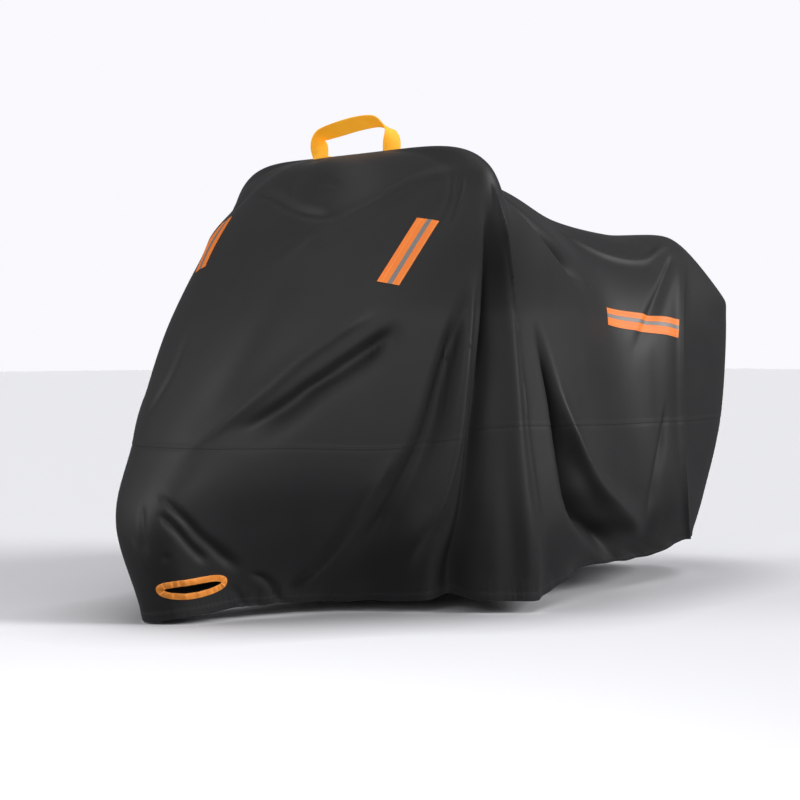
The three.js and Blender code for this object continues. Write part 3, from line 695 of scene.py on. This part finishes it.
bound_edge = bpy.data.materials.new("orange binding")
nodes, links, shader = shader_nodes(bound_edge)
weave = placed(nodes, links, weave_group, "weave", Pitch=0.0011)
stitches = placed(nodes, links, stitch_group, "weave", First=0.003, Second=0.016, Pitch=0.0035)
crumple = placed(nodes, links, crumple_group, Scale=60.0)
tone = blend(nodes, links, crumple.outputs["Soft"], (0.72, 0.2, 0.018), (0.98, 0.34, 0.045))
links.new(blend(nodes, links, stitches.outputs[0], tone, (0.9, 0.42, 0.12)), shader.inputs["Base Color"])
relief(
    nodes, links, shader,
    (weave.outputs[0], 0.0001), (stitches.outputs[0], 0.0004), (crumple.outputs["Soft"], 0.0015),
)
shader.inputs["Roughness"].default_value = 0.6
for side, middle, towards in SLOTS:
    centre, run, rise, out = place_on_cloth(middle, towards)
    spread = np.linspace(0, border_wide, 9)
    x = opening[:, :1] + opening_out[:, :1] * spread
    y = opening[:, 1:] + opening_out[:, 1:] * spread
    flat = centre + x[..., None] * run + y[..., None] * rise
    places, normals = land_on(whole_skirt, flat.reshape(-1, 3), out)
    shape = (*x.shape, 3)
    places, normals = places.reshape(shape), normals.reshape(shape)
    rng = np.random.default_rng(7)
    pucker = np.convolve(np.tile(rng.normal(size=slot_steps), 3), np.hanning(9), "same")
    pucker = pucker[slot_steps : 2 * slot_steps]
    swell = np.sin(np.linspace(0.25, math.pi - 0.1, 9)) ** 0.5
    lift = above_cloth + 1.0 + swell * np.maximum(2.2 + 0.9 * pucker[:, None], 0.3)
    points = places + normals * lift[..., None]
    points = np.concatenate([points, points[:1]])
    binding = cloth_sheet(f"slot_binding_{side}", points, 1.0)
    binding.data.materials.append(bound_edge)
    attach(binding, "root")
    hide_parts(f"front_slot_binding_{side}")


# The reflective tapes. Each is an orange woven tape with a silver reflective band along its
# middle, sewn flat onto the upper panel along both edges.
TAPES = [
    # name, length, width, slant of its ends, station and level of the middle, and of a point along
    ["front_left", 200, 54, 0.42, (2.55, 1.565), (2.45, 1.78)],
    ["front_right", 200, 50, 0, (-0.93, 1.39), (-0.83, 1.58)],
    ["rear_left", 296, 57, -0.15, (7.84, 2.05), (8.4, 2.075)],
    ["rear_right", 296, 57, 0.15, (-7.84, 2.05), (-8.4, 2.075)],
]
tape_thick = 1.2
woven_tape = bpy.data.materials.new("orange tape with a silver band")
nodes, links, shader = shader_nodes(woven_tape)
weave = placed(nodes, links, weave_group, "weave", Pitch=0.0012)
stitches = placed(nodes, links, stitch_group, "weave", First=0.003, Second=0.047, Pitch=0.0035)
beads = placed(nodes, links, crumple_group, Scale=900.0).outputs["Soft"]
fading = placed(nodes, links, crumple_group, Scale=14.0).outputs["Soft"]
split = nodes.new("ShaderNodeSeparateXYZ")
links.new(weave.inputs[0].links[0].from_socket, split.inputs[0])
off_middle = math_node(
    nodes, links, "ABSOLUTE", math_node(nodes, links, "SUBTRACT", split.outputs[1], 0.0255)
)
band = math_node(nodes, links, "LESS_THAN", off_middle, 0.0062)
orange = blend(nodes, links, fading, (0.88, 0.17, 0.012), (1.0, 0.27, 0.03))
orange = blend(nodes, links, stitches.outputs[0], orange, (1.0, 0.42, 0.12))
silver = blend(nodes, links, beads, (0.14, 0.13, 0.125), (0.3, 0.28, 0.265))
links.new(blend(nodes, links, band, orange, silver), shader.inputs["Base Color"])
links.new(math_node(nodes, links, "MULTIPLY", band, 0.25), shader.inputs["Metallic"])
relief(nodes, links, shader, (weave.outputs[0], 0.00008), (stitches.outputs[0], 0.0004), (band, 0.00025))
shader.inputs["Roughness"].default_value = 0.5
surface = surface_of(body_upper)
for name, long, wide, slant, middle, towards in TAPES:
    centre, run, rise, out = place_on_cloth(middle, towards)
    x, y = np.meshgrid(
        np.linspace(-long / 2, long / 2, 60), np.linspace(-wide / 2, wide / 2, 15), indexing="ij"
    )
    x = x + slant * y
    flat = centre + x[..., None] * run - y[..., None] * rise
    places, normals = land_on(surface, flat.reshape(-1, 3), out)
    points = (places + normals * (above_cloth + tape_thick)).reshape(60, 15, 3)
    tape = cloth_sheet(f"reflective_tape_{name}", points, tape_thick)
    tape.data.materials.append(woven_tape)
    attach(tape, "root")
    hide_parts(f"tape_{name}")


# The carry handle. A strip of yellow webbing whose two ends are turned back and sewn flat to
# the top, so that the loop stands up between them.
far_foot = np.array((710, 92, 1334.0))
near_foot = np.array((784, -106, 1334.0))
strap_wide = 50
strap_thick = 2.4
tab_long = 60
LOOP = [
    # distance along from the middle, height above the top, turn of the webbing in degrees
    (-112, -14, 0), (-113, 8, 4), (-118, 32, 40), (-121, 54, 76), (-103, 66, 58), (-56, 78, 47),
    (9, 91, 47), (64, 95, 55), (92, 84, 70), (112, 70, 92), (118, 55, 112), (119, 38, 135),
    (118, 12, 162), (118, -14, 175),
]
across_top = (near_foot - far_foot) / np.linalg.norm(near_foot - far_foot)
facing = np.cross(across_top, (0, 0, 1))
loop = curve_through([np.array(row, float) for row in LOOP], 97)
route = (far_foot + near_foot) / 2 + loop[:, :1] * across_top + loop[:, 1:2] * (0, 0, 1)
run = np.gradient(route, axis=0)
run /= np.linalg.norm(run, axis=1, keepdims=True)
flat = np.cross(facing, run)
turn = np.radians(loop[:, 2:])
wide = flat * np.cos(turn) + facing * np.sin(turn)
wide -= run * (wide * run).sum(1, keepdims=True)
wide /= np.linalg.norm(wide, axis=1, keepdims=True)
offsets = np.linspace(-strap_wide / 2, strap_wide / 2, 13)
strap_points = route[:, None] + wide[:, None] * offsets[None, :, None]
strap = cloth_sheet("webbing_handle", strap_points, strap_thick)
webbing = bpy.data.materials.new("yellow webbing with painted glow")
nodes, links, shader = shader_nodes(webbing)
weave = placed(nodes, links, weave_group, "weave", Pitch=0.002)
stitches = placed(nodes, links, stitch_group, "weave", First=0.004, Second=0.046, Pitch=0.004)
fading = placed(nodes, links, crumple_group, Scale=25.0).outputs["Soft"]
tone = blend(nodes, links, fading, (0.9, 0.37, 0.012), (1.0, 0.47, 0.03))
links.new(blend(nodes, links, stitches.outputs[0], tone, (1.0, 0.6, 0.12)), shader.inputs["Base Color"])
relief(nodes, links, shader, (weave.outputs[0], 0.00025), (stitches.outputs[0], 0.0004))
shader.inputs["Roughness"].default_value = 0.7
# Painted light: the webbing glows with its own colour, so its shaded underside stays bright as if light
# came through it.
links.new(tone, shader.inputs["Emission Color"])
shader.inputs["Emission Strength"].default_value = 0.42
tabs = []
for foot in (route[0], route[-1]):
    x, y = np.meshgrid(
        np.linspace(-2, tab_long, 12), np.linspace(-strap_wide / 2, strap_wide / 2, 11), indexing="ij"
    )
    spots = foot - x[..., None] * facing + y[..., None] * across_top
    places, normals = land_on(surface, spots.reshape(-1, 3), (0, 0, 1))
    places = places + normals * (above_cloth + strap_thick)
    tabs.append(cloth_sheet("tab", places.reshape(12, 11, 3), strap_thick))
bpy.ops.object.select_all(action="DESELECT")
for part in [strap, *tabs]:
    part.select_set(True)
bpy.context.view_layer.objects.active = strap
bpy.ops.object.join()
strap.data.materials.append(webbing)
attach(strap, "root")
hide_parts("carry_handle")


# The room. A pale floor runs out into a pale backdrop, and the floor's colour is darkened where the cover
# comes close above it, as a painted contact shadow. A large soft light stands on the near side, a weaker
# one hangs overhead, a faint one lies low, another behind the nose gives the folds their bright rims, and a
# softbox beside the nose lights the front.
bpy.context.scene.view_settings.view_transform = "Standard"
bpy.ops.mesh.primitive_plane_add(size=80, location=(0, 0, -0.004))
floor = bpy.context.object
floor.name = "floor"
floor_with_painted_shadow = bpy.data.materials.new("pale floor")
nodes, links, shader = shader_nodes(floor_with_painted_shadow)
# Painted contact shadow: the floor's colour darkens from pale to near black where ambient occlusion finds
# the cover close above it.
shade = nodes.new("ShaderNodeAmbientOcclusion")
shade.inputs["Distance"].default_value = 0.4
links.new(
    blend(nodes, links, shade.outputs["AO"], (0.12, 0.12, 0.125), (0.9, 0.9, 0.93)),
    shader.inputs["Base Color"],
)
shader.inputs["Roughness"].default_value = 1.0
shader.inputs["Specular IOR Level"].default_value = 0.0
floor.data.materials.append(floor_with_painted_shadow)
floor.visible_diffuse = False
floor.visible_glossy = False
world = bpy.data.worlds.new("pale room")
bpy.context.scene.world = world
world.use_nodes = True
nodes, links = world.node_tree.nodes, world.node_tree.links
sky = nodes["Background"]
sky.inputs["Color"].default_value = (0.95, 0.97, 1.0, 1)
sky.inputs["Strength"].default_value = 0.16
backdrop = nodes.new("ShaderNodeBackground")
backdrop.inputs["Color"].default_value = (0.947, 0.947, 0.991, 1)
seen = nodes.new("ShaderNodeLightPath")
either = nodes.new("ShaderNodeMixShader")
links.new(seen.outputs["Is Camera Ray"], either.inputs["Fac"])
links.new(sky.outputs[0], either.inputs[1])
links.new(backdrop.outputs[0], either.inputs[2])
links.new(either.outputs[0], nodes["World Output"].inputs["Surface"])
for name, aim, power, spread in [
    ("soft key on the near side", (-0.5, 0.72, -0.42), 2.4, 20),
    ("soft light over the top", (0, 0.15, -1), 0.9, 60),
    ("soft rim behind the nose", (0.85, -0.5, -0.35), 1.2, 30),
    ("soft fill low in front", (0.1, 0.95, 0.15), 0.5, 60),
]:
    bpy.ops.object.light_add(type="SUN", location=(-3, -3, 5))
    sun = bpy.context.object
    sun.name = name
    sun.data.angle = math.radians(spread)
    sun.data.energy = power
    sun.rotation_euler = Vector(aim).to_track_quat("-Z", "Y").to_euler()
bpy.ops.object.light_add(type="AREA", location=(-2.9, -1.9, 1.2))
panel = bpy.context.object
panel.name = "softbox beside the nose"
panel.data.size = 1.6
panel.data.energy = 26
panel.rotation_euler = Vector((2.2, 1.7, -0.6)).to_track_quat("-Z", "Y").to_euler()
